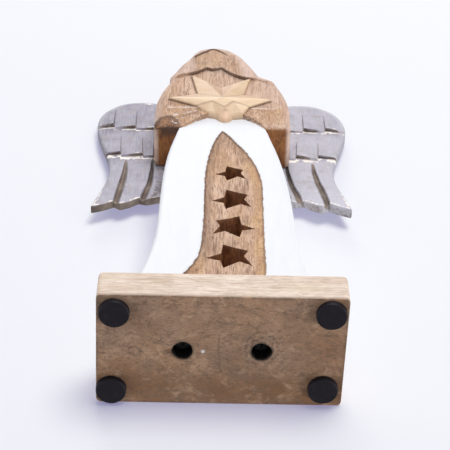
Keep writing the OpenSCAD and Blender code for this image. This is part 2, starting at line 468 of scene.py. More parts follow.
def body_wood():
    """Bare carved wood above and in the panel, matt white paint on the robe."""
    n = Nodes("carved_wood")
    shades = (0.625, 0.42, 0.3), (0.485, 0.302, 0.203), (0.21, 0.095, 0.05)
    color, height = wood_grain(n, "Z", *shades, 0.55, 1.25)
    speck = n.noise(n.place, 620, 3, 0.6)
    patch = n.noise(n.stretched((1, 1, 0.3)), 170, 3, 0.6)
    end_grain = n.noise(n.stretched((0.8, 0.25, 0.5)), 420, 5, 0.65, 1.5)
    honey = n.mix(n.span(patch, 0.38, 0.62), (0.47, 0.24, 0.11), (0.68, 0.42, 0.20))
    honey = n.mix(n.span(speck, 0.5, 0.66, 0, 0.75), honey, (0.26, 0.11, 0.05))
    hue = n.noise(n.stretched((1, 1, 0.5)), 60, 3, 0.55)
    color = n.mix(n.math("ADD", n.value("warm"), n.span(hue, 0.48, 0.64, 0, 0.4)), color, honey)
    ring = n.noise(n.stretched((1, 1, 0.7)), 330, 3, 0.6, 1.5)
    # The paler layer is partly painted light on the sleeves' outer edges; the underside, knot ring and bore
    # layers are partly painted shade; shade is painted shade
    color = n.over(
        color,
        pale=n.mix(n.span(patch, 0.35, 0.65), (0.50, 0.35, 0.29), (0.72, 0.54, 0.47)),
        under=n.mix(n.span(end_grain, 0.34, 0.66), (0.14, 0.04, 0.008), (0.36, 0.138, 0.032)),
        knot=n.mix(n.span(ring, 0.40, 0.60), (0.11, 0.045, 0.02), (0.34, 0.165, 0.075)),
        knot_ring=(0.06, 0.025, 0.015),
        bore=n.mix(n.span(end_grain, 0.36, 0.64), (0.18, 0.07, 0.026), (0.50, 0.21, 0.085)),
        shade=(0.075, 0.035, 0.019),
        worn=(0.78, 0.66, 0.58),
    )
    wobble = n.noise(n.place, 420, 4, 0.6)
    edge = n.math("ADD", n.value("paint"), n.span(wobble, 0.3, 0.7, -0.25, 0.25))
    smear = n.noise(n.stretched((1, 0.6, 1.2)), 640, 4, 0.7, 1.5)
    fleck = n.span(n.math("ADD", smear, n.value("smear")), 1.04, 1.12, 0, 0.85)
    paint = n.math("MAXIMUM", n.span(edge, -0.12, 0.12), fleck)
    brush = n.noise(n.stretched((1, 1, 0.15)), 260, 4, 0.6)
    white = n.mix(n.span(brush, 0.3, 0.7), (0.715, 0.725, 0.765), (0.745, 0.755, 0.79))
    grain = n.math("ADD", height, n.math("MULTIPLY", speck, 0.5))
    relief = n.bump(n.math("MULTIPLY", grain, n.span(paint, 0, 1, 1, 0.04)), 0.3, 0.7)
    relief = n.bump(n.math("ADD", paint, n.math("MULTIPLY", brush, 0.06)), 0.16, 0.7, relief)
    return n.finish(n.mix(paint, color, white), n.span(paint, 0, 1, 0.62, 0.55), relief)


def base_wood():
    """Pale long-grained sides and top, a browner underside with swirling figure."""
    n = Nodes("base_wood")
    shades = (0.775, 0.65, 0.56), (0.675, 0.535, 0.44), (0.44, 0.30, 0.20)
    color, height = wood_grain(n, "X", *shades, 0.25, 0.9)
    wavy = n.noise(n.stretched((0.35, 1, 1)), 60)
    color = n.mix(n.span(wavy, 0.5, 0.7, 0, 0.35), color, (0.68, 0.575, 0.41))
    streaks = n.noise(n.stretched((0.16, 1, 1)), 210, 5, 0.65, 1.8)
    color = n.mix(n.span(streaks, 0.53, 0.66, 0, 0.7), color, (0.46, 0.34, 0.24))
    veins = n.noise(n.stretched((0.22, 1, 1), (0.5, 0, 0.3)), 90, 4, 0.6, 2.4)
    vein = n.math("ABSOLUTE", n.math("SUBTRACT", veins, 0.5))
    color = n.mix(n.span(vein, 0.0, 0.012, 0.5, 0), color, (0.42, 0.28, 0.18))
    # The counterbores are drawn near black: painted shade, with a darker ring round their mouths
    color = n.over(color, under=base_underside(n), dent=(0.15, 0.07, 0.03), dirt=(0.006, 0.004, 0.003),
                   chip=(0.85, 0.84, 0.86))
    return n.finish(color, 0.6, n.bump(height, 0.18, 0.6))


def base_underside(n):
    """Stained brown wood: greyish and orange patches, short curly marks, rings, a crack and a darker band
    along its outer edge.
    """
    patch = n.noise(n.place, 30, 4, 0.55, 0.6)
    color = n.mix(n.span(patch, 0.38, 0.62), (0.285, 0.176, 0.118), (0.345, 0.198, 0.117))
    color = n.over(color, amber=(0.175, 0.078, 0.03))
    cloud = n.noise(n.stretched((0.7, 1, 1), (0.4, 0.6, 0)), 85, 5, 0.65, 1.2)
    color = n.mix(n.span(cloud, 0.48, 0.66, 0, 0.6), color, (0.18, 0.11, 0.07))
    light = n.noise(n.stretched((0.8, 1, 1), (0.9, 0.2, 0)), 130, 4, 0.65, 1.0)
    color = n.mix(n.span(light, 0.5, 0.7, 0, 0.45), color, (0.56, 0.37, 0.24))
    fine = n.noise(n.stretched((0.6, 1, 1), (0.2, 0.4, 0)), 430, 5, 0.75, 1.4)
    color = n.mix(n.span(fine, 0.5, 0.62, 0, 0.7), color, (0.13, 0.075, 0.045))
    swirl = n.noise(n.stretched((0.7, 1, 1)), 85, 5, 0.6, 3.0)
    line = n.math("ABSOLUTE", n.math("SUBTRACT", swirl, 0.5))
    gate = n.span(n.noise(n.place, 160, 2), 0.48, 0.54)
    mark = n.math("MULTIPLY", n.span(line, 0.0, 0.03, 0.4, 0), gate)
    return n.over(n.mix(mark, color, (0.07, 0.04, 0.025)), figure=(0.08, 0.05, 0.032))


def star_wood():
    """Smoother and paler wood, drawn in a lit and a shaded copy: each facet's mix of the two is painted light
    and shade.
    """
    n = Nodes("star_wood")
    # The lit and the shaded copy of the star's wood, for painted light and shade on the facets
    pale, height = wood_grain(n, "X", (0.78, 0.585, 0.395), (0.71, 0.51, 0.33), (0.50, 0.32, 0.19), 0.1, 0.35)
    brown, _ = wood_grain(n, "Z", (0.52, 0.345, 0.235), (0.46, 0.29, 0.19), (0.30, 0.165, 0.095), 0.2, 0.5)
    color = n.over(brown, tone=pale, blush=(0.76, 0.48, 0.34), worn=(0.85, 0.70, 0.52),
                   shade=(0.11, 0.05, 0.025))
    return n.finish(color, 0.5, n.bump(height, 0.12, 0.5))


def wing_metal():
    """Matt cast aluminium: brown patina and painted shade in the grooves, burnished edges, and painted
    highlights.
    """
    n = Nodes("wing_metal")
    cloud = n.noise(n.place, 90, 4, 0.6)
    grit = n.noise(n.place, 1500, 3, 0.6)
    brushed = n.noise(n.stretched((1, 1, 0.12)), 900, 3, 0.6)
    color = n.mix(n.span(cloud, 0.35, 0.65), (0.24, 0.226, 0.28), (0.33, 0.313, 0.372))
    color = n.mix(n.span(brushed, 0.4, 0.7, 0, 0.35), color, (0.50, 0.485, 0.53))
    # Painted sheen: a paler, bluer grey where the wings are drawn as catching more light
    color = n.over(color, sheen=(0.60, 0.585, 0.645))
    ragged = n.noise(n.place, 500, 4, 0.65)
    stain = n.noise(n.place, 190, 5, 0.7)
    color = n.mix(n.span(stain, 0.52, 0.68, 0, 0.5), color, (0.34, 0.265, 0.235))
    # Burnished edges and painted highlights along the feathers' edges and rims
    burnish = n.span(n.math("ADD", n.value("burnish"), n.span(ragged, 0.3, 0.7, -0.4, 0.4)), 0.4, 0.75)
    color = n.mix(burnish, color, (0.86, 0.81, 0.77))
    # Brown patina in the grooves, with painted shade under the feathers and on the tips' end faces
    patina = n.span(n.math("ADD", n.value("patina"), n.span(ragged, 0.3, 0.7, -0.3, 0.3)), 0.3, 0.75)
    tone = n.mix(n.span(cloud, 0.4, 0.6), (0.10, 0.065, 0.045), (0.24, 0.18, 0.14))
    color = n.mix(n.math("MULTIPLY", patina, 0.95), color, tone)
    # Painted shade: near black in the deepest grooves, under the feathers' edges and on the left tips' end
    # faces
    color = n.over(color, soot=(0.045, 0.035, 0.032))
    relief = n.bump(grit, 0.08, 0.5, n.bump(cloud, 0.6, 0.4))
    return n.finish(color, n.span(grit, 0.3, 0.7, 0.58, 0.72), relief, n.span(patina, 0, 1, 0.35, 0.1))


def foot_rubber():
    n = Nodes("foot_rubber")
    dust = n.noise(n.place, 260, 4, 0.7)
    grain = n.noise(n.place, 2600, 2)
    color = n.mix(n.span(dust, 0.5, 0.75), (0.005, 0.003, 0.007), (0.013, 0.009, 0.016))
    n.shader.inputs["Specular IOR Level"].default_value = 0.25
    return n.finish(color, n.span(dust, 0.3, 0.7, 0.5, 0.68), n.bump(grain, 0.04, 0.5))


def steel(name, color, bright, metallic):
    """Screw steel with fine turning marks and a little tarnish."""
    n = Nodes(name)
    marks = n.noise(n.place, 1400, 3, 0.6)
    tarnish = n.noise(n.place, 420, 3, 0.6)
    mixed = n.mix(n.span(tarnish, 0.4, 0.7), bright, color)
    return n.finish(mixed, n.span(marks, 0.3, 0.7, 0.3, 0.5), n.bump(marks, 0.03, 0.4), metallic)


# ---------------- the carved body


def robe_side(side):
    """One side of the robe, from the hem up to the sleeves."""
    hem = np.array([side * 52, HEM_Z])
    waist = np.array([side * 36.5 + 2, HEM_Z + 76])
    top = np.array([side * ROBE_TOP_HALF, SLEEVE_Z])
    return outline(
        curve(hem, hem + [side * -9, 20], waist + [side * 1.5, -32], waist),
        curve(waist, waist + [side * -1, 35], top + [side * 9, -33], top),
    )


def sleeve_side():
    """The right side of the sleeves, from the robe round to the shoulder."""
    low = np.array([SLEEVE_HALF, SLEEVE_Z + 4])
    elbow = np.array([SLEEVE_HALF, SLEEVE_Z + 20])
    shoulder = np.array([28.5, CHIN_Z])
    return outline(
        [ROBE_TOP_HALF, SLEEVE_Z],
        curve([36, SLEEVE_Z], [39, SLEEVE_Z], low - [0, 3], low, 5),
        curve(low, low + [0, 4], elbow - [0, 4], elbow, 2),
        curve(elbow, elbow + [0, 18], shoulder + [5, -12], shoulder),
    )


def body_outline():
    temple = np.array([28.5, CHIN_Z - 2])
    crown = np.array([0, CROWN_Z])
    head = outline(curve(temple, temple + [-5.5, 13], crown + [10.5, -1], crown), crown)
    left_head = mirrored(head)[1:]
    left_head[:, 0] -= 1.5 * peak(left_head[:, 1], 308, 5) - 1.0 * peak(left_head[:, 1], 294, 4)
    sleeve = sleeve_side()
    right = outline(robe_side(1), sleeve)
    left = outline(robe_side(-1), sleeve * [-1, 1])[::-1]
    right, left = (half[half[:, 1] < CHIN_Z - 4] for half in (right, left))
    return outline(right, head + [HEAD_X, 0], left_head + [HEAD_X, 0], left)


PANEL_RIGHT = 22
PANEL_LEFT = -10
PANEL_SPRING_Z = HEM_Z + 113
PANEL_TIP = [0, SLEEVE_Z - 2]
PANEL = outline(
    [[-30, HEM_Z - 5], [PANEL_RIGHT, HEM_Z - 5]],
    curve([PANEL_RIGHT, PANEL_SPRING_Z], [PANEL_RIGHT, PANEL_SPRING_Z + 28],
          [11.5, PANEL_SPRING_Z + 48], PANEL_TIP),
    curve(PANEL_TIP, [-6, PANEL_SPRING_Z + 56], [PANEL_LEFT, PANEL_SPRING_Z + 30],
          [PANEL_LEFT, PANEL_SPRING_Z]),
    curve([PANEL_LEFT, PANEL_SPRING_Z], [PANEL_LEFT, PANEL_SPRING_Z - 50],
          [PANEL_LEFT - 1, 72], [PANEL_LEFT - 4, 64]),
    curve([PANEL_LEFT - 5.5, 60], [-19, 54], [-25, 40], [-30, HEM_Z]),
)

# Where the arms' lower edges meet the painted robe
ARCH_TOP = [0, SLEEVE_Z + 16.5]
ARCH = outline(
    [-60, SLEEVE_Z - 0.5],
    curve([-ROBE_TOP_HALF, SLEEVE_Z], [5.5 - ROBE_TOP_HALF, SLEEVE_Z + 3], [-11, SLEEVE_Z + 16], ARCH_TOP),
    curve(ARCH_TOP, [9, SLEEVE_Z + 16], [ROBE_TOP_HALF - 4.5, SLEEVE_Z + 9], [ROBE_TOP_HALF, SLEEVE_Z]),
    [[ROBE_TOP_HALF, SLEEVE_Z], [60, SLEEVE_Z - 0.5]],
)

# The lower edge of the hair and chin
JAW = np.array([
    [-44, 258], [-32, 261], [-28, 265.3], [-23, 267.5], [-19.5, 269.3], [-15.8, 271.3], [-12.2, 275],
    [-9.7, 277.4], [-6.6, 275.4], [-2.9, 276.6], [-0.4, 277.6], [1.6, 274.2], [4.5, 270.8],
    [8.2, 267.6], [11.9, 265.3], [15, 263.9], [19, 264], [26, 261], [44, 258],
])
# The edge of the hair over the face, from the left temple over the parting to the right
HAIRLINE = np.array([
    [-15.5, CHIN_Z - 4], [-16.7, 284], [-17.4, 294.2], [-14.3, 297], [-9.9, 302.2], [-6.1, 310],
    [-2.3, 304], [1.5, 297.3], [5.5, 292], [9, 280], [9.5, CHIN_Z - 4],
])


def pierced_star(x, z, size, lean, seed):
    """One of the stars cut through the robe; no two are quite alike."""
    loop = []
    for k, (across, up) in enumerate(HAND_CUT_STAR):
        jitter = noise.noise_vector(Vector((k * 1.7, seed * 3.1, 0)))
        loop.append([x + size * lean * across + 0.45 * jitter.x, z + size * up + 0.45 * jitter.y])
    return np.array(loop)


noise.seed_set(1)               # or else vector noise is different each time Blender starts
STAR_HOLES = [pierced_star(*star, seed) for seed, star in enumerate(PIERCED_STARS)]

# The relief star's corners: [x, z, how far each stands out in front of the robe]
CORNERS = {
    "middle": [-0.2, 231.3, 8.0],
    "left": [-32.0, 234.5, 5.5],
    "right": [29.0, 234.0, 5.5],
    "upper_left": [-19.0, 265.0, 5.5],
    "upper_right": [17.0, 262.3, 5.3],
    "left_pit": [-15.0, 241.2, 4.9],
    "right_pit": [12.5, 241.1, 4.9],
    "top_pit": [-0.8, 250.0, 4.8],
    "left_brow": [-9.7, 254.8, 6.4],
    "right_brow": [6.3, 252.2, 6.4],
    "left_fold": [-15.5, 225.3, 5.3],
    "right_fold": [15.6, 225.0, 5.3],
    "left_hump": [-6.2, 227.6, 7.3],
    "right_hump": [6.3, 227.6, 7.3],
    "dip": [0.9, 222.8, 5.9],
    "left_low_pit": [-9.8, 220.2, 3.5],
    "right_low_pit": [12.0, 218.6, 3.4],
    "heel": [1.2, 218.8, 4.6],
    "left_toe": [-3.6, 217.6, 2.5],
    "left_toe_end": [-1.7, 214.5, 1.6],
    "toe": [1.4, 213.0, 1.2],
    "right_toe_end": [4.2, 214.4, 1.6],
    "right_toe": [5.9, 217.2, 2.5],
}
# Its facets come in pairs, with * for left or right in the corners' names. The numbers are painted light and
# shade: how much of the lit copy the left and the right one get, 1 the palest, 0 the brownest
FACET_PAIRS = [
    ("* middle *_pit", 0.42, 0.45),
    ("* *_hump middle", 0.95, 1.0),
    ("* *_fold *_hump", 0.85, 0.95),
    ("upper_* *_pit middle", 0.72, 0.78),
    ("upper_* middle *_brow", 0.62, 0.62),
    ("upper_* *_brow top_pit", 0.12, 0.25),
    ("*_brow middle top_pit", 0.15, 0.2),
    ("middle *_hump dip", 0.9, 0.95),
    ("*_fold *_low_pit *_hump", 0.7, 1.0),
    ("*_hump *_low_pit *_toe", 0.85, 0.75),
    ("*_hump *_toe heel", 0.75, 0.75),
    ("*_hump heel dip", 0.6, 0.6),
    ("*_toe *_toe_end heel", 0.8, 0.75),
    ("*_toe_end toe heel", 0.85, 0.85),
]
FACETS = [
    (names.replace("*", side).split(), pale)
    for names, *pales in FACET_PAIRS for side, pale in zip(("left", "right"), pales)
]
STAR_RIM = (
    "left left_fold left_low_pit left_toe left_toe_end toe right_toe_end right_toe right_low_pit "
    "right_fold right right_pit upper_right top_pit upper_left left_pit"
).split()
STAR_OUTLINE = np.array([CORNERS[name][:2] for name in STAR_RIM])

BODY_RIM = body_outline()
# Without the hem, so that the body's edges aren't rounded where it stands on the base
OPEN_RIM = np.where(BODY_RIM[:, 1:] <= HEM_Z + 0.1, BODY_RIM - [0, 40], BODY_RIM)


def edge_radius(p):
    """The rounding of the board's front edges: most on the shoulders, least under the sleeves."""
    z = p[:, 1]
    return 2.5 - 1.3 * ease(z, 195, 204) + 3.8 * ease(z, 208, 216) + 2 * ease(z, 262, 276)


def in_panel(p):
    """How far each point lies inside the panel's ragged edge."""
    return depth_in(p, PANEL) + 0.35 * waves(p, 4, 1) + 0.25 * waves(p, 1.6, 2)


def body_front(p):
    """The depth of the carved front at points of the front view."""
    x, z = p.T
    sunk = in_panel(p)
    robe = ROBE_Y + 0.9 * ramp(sunk, 0, 0.7) + 1.4 * ease(sunk, 0.7, 6)
    robe += 0.14 * waves(p, 7, 3) * ramp(sunk, 1, 3)
    slope = np.interp(z, [SLEEVE_Z, CREASE_Z], [SLOPE_FOOT_Y, ARM_Y])
    chest = 0.5 * ramp(np.abs(x - 0.3), 8, 0) * ease(z, 245, 255)
    arms = slope - chest + 0.25 * waves(p, 11, 4)
    y = robe + (arms - robe) * ramp(above(p, ARCH), -0.3, 0.3)
    over_jaw = above(p, JAW)
    fade = 1 - 0.7 * ease(np.abs(x - HEAD_X), 20, 27)
    recess = 0.8 * ramp(depth_in(p, HAIRLINE), -0.3, 0.3) * ramp(z, 285, 292)
    recess *= np.interp(x, [-18, -6, 4], [1, 1, 0.3])
    head = HEAD_Y + 0.3 + recess + 0.14 * waves(p * [1, 0.5], 5, 5)
    head = ARM_Y + (head - ARM_Y) * fade
    y += (head - y) * ramp(over_jaw, -0.3, 0.3)
    y += 0.8 * peak(over_jaw, -0.9, 0.7) * fade
    crown = ramp(z, 293, CROWN_Z + 0.5)
    y += 12 * (1 - np.sqrt(1 - crown * crown))
    y += np.minimum(rounding(depth_in(p, OPEN_RIM), edge_radius(p)), 9)
    return np.minimum(y, BACK_Y - 8)


def body_back(p):
    return BACK_Y - rounding(depth_in(p, OPEN_RIM), 1.8)


def body_attributes(q):
    """Where the body is painted, darker with painted shade, paler (partly painted light), worn, stained,
    knotty or pierced.
    """
    p = q[:, [0, 2]]
    x, y, z = q.T
    sunk = in_panel(p)
    over_arch = above(p, ARCH)
    over_jaw = above(p, JAW)
    rim = depth_in(p, BODY_RIM)

    jaw = peak(over_jaw, -0.2, 0.46) * (1 - ease(np.abs(x + 1.5), 17, 22))
    under_jaw = 0.4 * peak(over_jaw, -1.6, 2) * (1 - ease(np.abs(x - 4), 10, 17))
    hair = peak(distance(p, HAIRLINE), 0, 0.6) * (over_jaw > 1) * ramp(x, 6.5, 0.5)
    hair *= np.interp(z, [284, 288, 294], [0, 0.35, 0.95])
    panel_edge = np.where(x > 12, 0.6, 0.85) * peak(sunk, 0.4, 0.5) * (z < SLEEVE_Z)
    left_bank = (0.26 + 0.2 * waves(p * [1, 0.2], 2, 23)) * ramp(sunk, 0, 0.8) * ramp(sunk, 6, 3.5) * (x < 2)
    right_bank = 0.18 * ramp(sunk, 0, 0.8) * ramp(sunk, 4.5, 2.5) * (x > 2) * ramp(z, 160, 172)
    gap = peak(depth_in(p, STAR_OUTLINE), -0.25, 0.6) * (over_arch > 0.5)
    gap *= star_gap(x, z, [0.1, 0.85, 0.6, 0.05])
    face = ramp(depth_in(p, HAIRLINE), -1.5 - 3.5 * (x > 2), 0.5) * ramp(over_jaw, 0, 1.5)
    shade = most(jaw, under_jaw, hair, panel_edge, left_bank, right_bank, gap, 0.12 * face)

    right = ramp(sunk, 0, 0.5) * ramp(sunk, 6.5, 3.5) * (x > 12) * ramp(z, 172, 160)
    flare = 0.9 * ramp(z, 66, 54) * ramp(x, -7, -15) * (sunk > 0)
    slope = 0.22 * ramp(over_arch, 0, 1) * ramp(z, CREASE_Z + 1, CREASE_Z)
    tresses = ramp(over_jaw, 0, 1.5) * (1 - face) * np.interp(x, [-20, 5], [0.5, 0.75])
    chest = 0.3 * ramp(x, -22, 22) * ramp(z, CREASE_Z - 1, CREASE_Z + 1) * ramp(over_jaw, 0, -2)
    outer = ramp(np.abs(x), SLEEVE_HALF - 3.2, SLEEVE_HALF - 1.8)
    # side_edge: painted light along the sleeves' rounded outer edges
    side_edge = 0.75 * ramp(rim, 5.5, 1) * np.maximum(outer, ramp(z, SLEEVE_Z + 1, SLEEVE_Z + 3))
    side_edge *= (z > SLEEVE_Z - 1) * ramp(z, CHIN_Z + 4, CHIN_Z - 14) * (y < BACK_Y - 3)

    # The sleeves' undersides: dark brown end grain, partly painted shade
    under = ramp(z, SLEEVE_Z + 0.8, SLEEVE_Z + 0.1) * (np.abs(x) > ROBE_TOP_HALF - 1) * (1 - outer)
    under *= (z > SLEEVE_Z - 1) * ramp(y, SLOPE_FOOT_Y - 0.4, SLOPE_FOOT_Y + 1)
    from_knot = np.hypot((x + 32) / 7.5, (z - SLEEVE_Z - 0.5) / 9.5) + 0.22 * waves(p, 3.5, 6)
    # Painted shade: a dark band on the left sleeve's underside, just behind its front edge
    edge_shade = ramp(y, SLOPE_FOOT_Y - 0.3, SLOPE_FOOT_Y + 0.3) * ramp(y, SLOPE_FOOT_Y + 8.5, SLOPE_FOOT_Y + 4)
    edge_shade *= 0.85 * ramp(x + 2.5 * waves(q, 5, 17), -38, -36) * (x < -24) * (z < SLEEVE_Z + 1.5)
    scratched = (x < -14) * (x > -33) + (x > 17) * (x < 31)
    crease = peak(z, CREASE_Z, 0.5) * ramp(waves(p, 3, 7), -0.5, 0.1) * scratched

    off = z - SLEEVE_Z - 11.5 - 0.35 * (x + 22) + 0.8 * waves(p, 3, 19)
    along = ramp(x, -31, -28) * ramp(x, -13, -16)
    hook = peak(np.hypot(x + 27, (z - SLEEVE_Z - 8) / 1.4), 3, 0.8) * (x < -25)
    smear = 0.65 * np.maximum((peak(off, 2, 0.9) + peak(off, -1.8, 0.7)) * along, hook)
    core = 0.5 * peak(off, 0, 1.6) * along
    # The pierced holes' walls are drawn dark red-brown: sawn wood, partly painted shade
    pierced = np.any([depth_in(p, hole) > -0.1 for hole in STAR_HOLES], axis=0)
    return {
        "paint": np.where(y > BACK_Y - 1.5, -over_arch, np.minimum(-over_arch - 0.4, -sunk)),
        "shade": shade * (y < ROBE_Y + 4),
        "bore": pierced * ramp(y, ROBE_Y + 1.2, ROBE_Y + 3),
        "warm": 0.7 * most(right, flare, 0.4 * face, slope) * (y < BACK_Y - 2),
        "pale": most(tresses, chest, side_edge),
        "under": under,
        "knot": np.maximum(ramp(from_knot, 1.1, 0.9), core) * (y < ROBE_Y + 2.5),
        "knot_ring": np.maximum(0.6 * peak(from_knot, 0.9, 0.16) * (y < ROBE_Y + 1), edge_shade),
        "worn": 0.75 * crease * (y < ARM_Y + 2),
        "smear": smear * (y < ROBE_Y - 0.4),
    }


def carved_body(material):
    lines = [[[-SLEEVE_HALF, CREASE_Z], [SLEEVE_HALF, CREASE_Z]]]
    for line, gap in ((ARCH, 0.3), (JAW, 0.3), (HAIRLINE, 0.3), (PANEL[2:], 0.4)):
        lines += beside(line, gap, 0.9)
    return slab("carved_body", [BODY_RIM] + STAR_HOLES, body_front, body_back, material,
                lines=lines, spacing=0.95, depths=(0.12, 0.5, 1.1, 2.0), wall_rows=10,
                attributes=body_attributes)


# ---------------- the relief star


def star_gap(x, z, dark):
    """How dark the gap beside the star is: at four heights, and more by its upper left point."""
    return np.interp(z, [219, 226, 236, 240], dark) + 0.7 * (x < -12) * (z > 241)


def star_facets(p):
    """How far each point of the star stands out, and how much painted light its facet gets."""
    lift = np.full(len(p), 4.5)
    tone = np.full(len(p), 0.5)
    for names, pale in FACETS:
        a, b, c = (np.array(CORNERS[name]) for name in names)
        v, w = np.linalg.solve(np.column_stack([b - a, c - a])[:2], (p - a[:2]).T)
        hit = (v > -0.01) & (w > -0.01) & (v + w < 1.01)
        lift[hit] = (a[2] + v * (b[2] - a[2]) + w * (c[2] - a[2]))[hit]
        tone[hit] = pale
    return lift, tone


def star_front(p):
    soft = 0.5 + 1.6 * ramp(p[:, 1], 225, 219)
    return ROBE_Y - star_facets(p)[0] + rounding(depth_in(p, STAR_OUTLINE), soft) + 0.1 * waves(p, 5, 8)


def star_back(p):
    """A little behind the body's carved front, so that no gap shows."""
    return np.maximum(body_front(p) + 0.4, star_front(p) + 0.5)


def corner_line(*names):
    return [CORNERS[name][:2] for name in names]


def star_attributes(q):
    """Where the star is drawn paler with painted light, worn, darker with painted shade, or reddish."""
    p = q[:, [0, 2]]
    x, z = p.T
    creases = [
        (0.42, 0.55, ("left_fold", "left_hump", "dip", "right_hump", "right_fold")),
        (0.35, 0.5, ("left_pit", "middle", "right_pit")),
        (0.15, 0.5, ("top_pit", "middle")),
    ]
    lines = [dark * peak(distance(p, corner_line(*names)), 0, width) for dark, width, names in creases]
    speck = 0.35 * peak(np.hypot(x - 1.5, z - 220.3), 0, 1.3)
    side = ramp(q[:, 1] - star_front(p), 0.25, 0.7) * star_gap(x, z, [0.2, 0.95, 0.6, 0.1])
    toe = peak(np.hypot(x - 1.2, z - 216), 0, 4)
    return {
        # Painted light and shade: how much of the lit copy each facet shows
        "tone": star_facets(p)[1],
        "worn": 0.35 * peak(distance(p, corner_line("left", "middle", "right")), 0, 0.7),
        "shade": most(*lines, speck, side),
        "blush": 0.55 * ramp(toe + 0.8 * peak(np.hypot(x, z - 248), 0, 5), 0, 1),
    }


def facet_edges(names):
    return {tuple(sorted(pair)) for pair in zip(names, names[1:] + names[:1])}


def relief_star(material):
    creases = set().union(*(facet_edges(names) for names, _ in FACETS)) - facet_edges(STAR_RIM)
    lines = [corner_line(*edge) for edge in sorted(creases)]
    return slab("relief_star", [STAR_OUTLINE], star_front, star_back, material, lines=lines,
                spacing=0.6, depths=(0.15, 0.45), wall_rows=3, attributes=star_attributes,
                coarse=1.5, sharp=30)


# ---------------- the wings

WING_FRONT = BACK_Y             # the castings lie against the back of the board
WING_BACK = WING_HIGH[1]
WING_REACH = WING_HIGH[0]
WING_TOP_Z = WING_HIGH[2]
WING_TIP_Z = WING_LOW[2]
WING_INNER = WING_LOW[0]
CLEAR_X = SLEEVE_HALF + 0.6     # outside this the feathers may stand forward
ROW_LIFT = 0.55                 # how far each upper row stands out over the lower one
RIGHT_SHIFT = -2.4              # the right wing's short feathers sit further in

# Each short feather, seen in the right wing: row above the long ones, inner and outer x, how far
# its inner edge leans outwards, top z, bottom z at its inner and outer corners, and how far its
# lower inner corner stands out on the left and on the right wing
TILES = [
    [2, 66.4, 80.0, 0.0, 277, 253.0, 250.8, 2.7, 2.1],
    [2, 52.9, 66.4, 0.2, 279, 252.2, 251.3, 1.8, 2.2],
    [2, 38.0, 52.9, 0.4, 280, 251.5, 251.0, 1.1, 0.9],
    [1, 60.4, 80.0, 1.1, 243, 219.6, 216.8, 1.9, 1.8],
    [1, 47.2, 60.4, 1.3, 243, 218.6, 217.3, 1.7, 2.2],
    [1, 34.0, 47.2, 1.5, 243, 217.5, 217.3, 1.4, 1.0],
]
# The grooves between the long feathers: points down each one's outer edge, with its width there
GROOVES = [
    [[57.4, 214, 1.8], [58.3, 203, 3.2], [59.4, 191, 4.2], [60.6, 181, 4.6], [62.2, 165, 4.2]],
    [[41.6, 217, 1.6], [42.2, 202, 2.6], [43.4, 187, 3.6], [45.8, 176, 4.6], [47.6, 165, 4.6]],
    [[25.0, 214, 1.2], [24.6, 202, 1.8], [24.2, 185, 2.4], [25.0, 170, 3.0]],
]


def wing_outline():
    """The right wing, from its inner top corner round by the tip."""
    widest = np.array([WING_REACH, 255])
    waist = np.array([WING_REACH - 10.3, 198])
    tip = np.array([WING_REACH - 2.5, WING_TIP_Z])
    top = np.array([51, WING_TOP_Z])
    feather_ends = [[-1.2, 0.2], [-6.5, 2.6], [-12.6, 6.5], [-16.4, 3.6], [-21.5, 6.5], [-26.8, 10.8],
                    [-31.2, 9.5], [-39, 12.5], [-52, 16]]
    return outline(
        [WING_INNER, 279],
        curve([WING_INNER + 20, 283], [38, 286], [45, WING_TOP_Z], top, 5),
        curve(top, top + [16, 0], widest + [0, 16], widest, 12),
        curve(widest, widest + [0, -20], waist + [0, 20], waist, 12),
        curve(waist, waist + [0, -14], tip + [-3, 14], tip, 8),
        tip,
        tip + feather_ends,
        [[WING_INNER + 4, WING_TIP_Z + 34], [WING_INNER, 219]],
    )


WING_RIM = wing_outline()


def short_feathers(p, side):
    """For each short feather: its row, its place in the casting and its edges at each point."""
    x = p[:, 0] - (RIGHT_SHIFT if side > 0 else 0)
    for row, inner, outer, lean, top, low_in, low_out, *lifts in TILES:
        low = np.interp(x, [inner, outer], [low_in, low_out])
        edge = np.interp(p[:, 1], [low_in, top], [inner, inner + lean])
        yield row, x, edge, inner, outer, low, top, lifts[side > 0]


def groove_line(groove, side):
    """A groove's outer edge and its widths; on the right wing its top is further in."""
    line = np.array(groove)
    if side > 0:
        line[:, 0] += RIGHT_SHIFT * ease(line[:, 1], 170, 212)
    return line


def groove_at(p, groove, side):
    """How far into a groove each point is, from its inner side (0) to its outer side (1)."""
    x, z, width = groove_line(groove, side)[::-1].T
    wide = np.interp(p[:, 1], z, width)
    return (p[:, 0] - np.interp(p[:, 1], z, x) + wide) / wide


def wing_relief(p, side):
    """How far the feathers stand out from the casting's front, in the right wing's place."""
    x, z = p.T
    lift = np.zeros(len(p))
    for row, tiled, edge, _, outer, low, top, corner in short_feathers(p, side):
        across = ramp(tiled, outer, edge) ** 0.8
        down = ramp(z, top, low)
        held = ramp(tiled, edge - 0.2, edge + 0.2) * ramp(z, low - 0.2, low + 0.2)
        lift = np.maximum(lift, (row * ROW_LIFT + corner * across * down) * held)
    lift *= ramp(x, CLEAR_X - 0.3, CLEAR_X + 0.3)
    lift += (1.6 if side > 0 else 0.3) * ease(z, 196, 166) * ease(x, 44, 62)
    for groove in GROOVES:
        t = groove_at(p, groove, side)
        lift -= 1.9 * ramp(z, 213, 203) * ramp(t, -0.02, 0.6) * ramp(t, 1.0, 0.8)
    return lift


def wing_front(p, side):
    radius = 0.35 + 1.3 * ease(p[:, 1], 178, 215)
    uneven = 0.18 * waves(p + [40 * side, 0], 7, 9) * ramp(p[:, 0], CLEAR_X, CLEAR_X + 2)
    return WING_FRONT - wing_relief(p, side) + uneven + rounding(depth_in(p, WING_RIM), radius)


def wing_back(p):
    rim = depth_in(p, WING_RIM)
    radius = 0.5 + 0.9 * ease(p[:, 1], 178, 200)
    return WING_BACK - rounding(rim, radius) - 0.25 * (1 + waves(p, 9, 10)) * ramp(rim, 1, 6)


